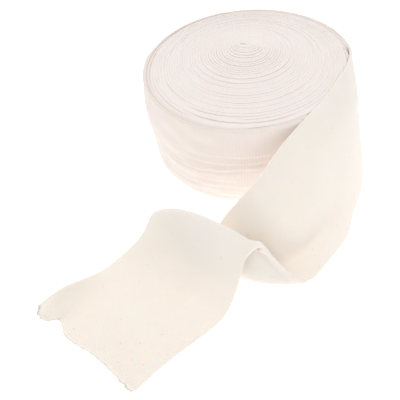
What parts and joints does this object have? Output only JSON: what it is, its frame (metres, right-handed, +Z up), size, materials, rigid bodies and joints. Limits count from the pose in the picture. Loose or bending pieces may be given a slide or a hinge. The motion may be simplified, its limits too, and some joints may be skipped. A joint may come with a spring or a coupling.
{
  "type": "tubular bandage roll",
  "caption": "Roll of double-layer tubular knit bandage lying on its side face, with its loose end folded back on itself and laid flat.",
  "frame": {"origin": "on the floor under the middle of the roll, where its axis meets its flat lower face", "axes": "+Z up along the roll's axis, -Y towards the viewer, with the loose end lying towards -X and -Y"},
  "size_m": [0.2653, 0.2986, 0.08],
  "materials": {
    "cream_knit": "matt undyed cotton rib knit, slightly fuzzy"
  },
  "bodies": {
    "root": {"wound_roll": "cream_knit", "loose_end": "cream_knit"}
  },
  "joints": []
}
